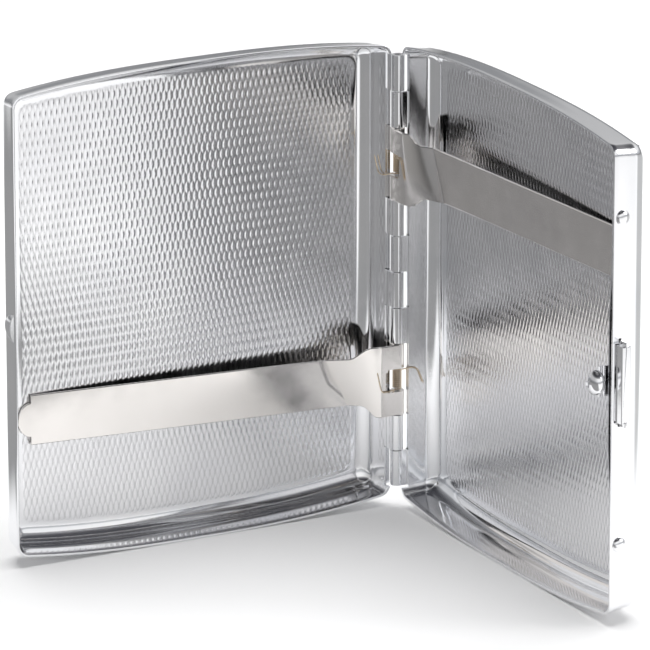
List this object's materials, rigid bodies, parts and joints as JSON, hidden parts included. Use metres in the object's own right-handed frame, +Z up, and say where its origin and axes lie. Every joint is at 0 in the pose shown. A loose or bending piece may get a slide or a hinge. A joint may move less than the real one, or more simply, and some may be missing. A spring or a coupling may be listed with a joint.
{
  "type": "business card case",
  "caption": "Slim hinged metal card case: two stamped trays on a knuckle hinge, a sprung card arm in each tray and a push button catch.",
  "frame": {"origin": "bottom centre of the box around the case standing open at a right angle", "axes": "+Z up along the hinge pin; the left tray runs along -X from the pin with its inside facing -Y; the right tray runs along -Y with its inside facing -X"},
  "size_m": [0.09, 0.091, 0.0944],
  "materials": {
    "chrome": "bright chromium plate, stamped with a fine barleycorn pattern on the panels",
    "nickel": "polished nickel plate with a warm tone",
    "brass": "drawn wire",
    "steel": "plain spring steel"
  },
  "bodies": {
    "left_half": {"left_cover": "chrome", "left_hinge_leaf": "chrome", "hinge_pin": "steel"},
    "right_half": {"right_cover": "chrome", "right_hinge_leaf": "chrome", "catch_spring": "steel", "rivet_upper": "chrome", "rivet_lower": "chrome"},
    "lower_card_arm": {"lower_arm": "nickel", "lower_arm_spring": "brass"},
    "upper_card_arm": {"upper_arm": "nickel", "upper_arm_spring": "brass"},
    "catch": {"push_button": "chrome", "catch_tongue": "chrome"}
  },
  "joints": [
    {"name": "case_hinge", "type": "hinge", "parent": "left_half", "child": "right_half", "pos_m": [0.037, 0.0375, 0.0472], "axis": [0, 0, 1], "range_deg": [-90, 90], "deforming": ["lower_arm_spring", "upper_arm_spring"]},
    {"name": "lower_arm_hinge", "type": "hinge", "parent": "left_half", "child": "lower_card_arm", "pos_m": [0.037, 0.0375, 0.0472], "axis": [0, 0, 1], "range_deg": [0, 10]},
    {"name": "upper_arm_hinge", "type": "hinge", "parent": "right_half", "child": "upper_card_arm", "pos_m": [0.037, 0.0375, 0.0472], "axis": [0, 0, -1], "range_deg": [0, 10]},
    {"name": "button_press", "type": "slide", "parent": "right_half", "child": "catch", "axis": [0, 1, 0], "range_m": [0, 0.0012], "stiffness_N_per_m": 800, "deforming": ["catch_spring"]}
  ]
}
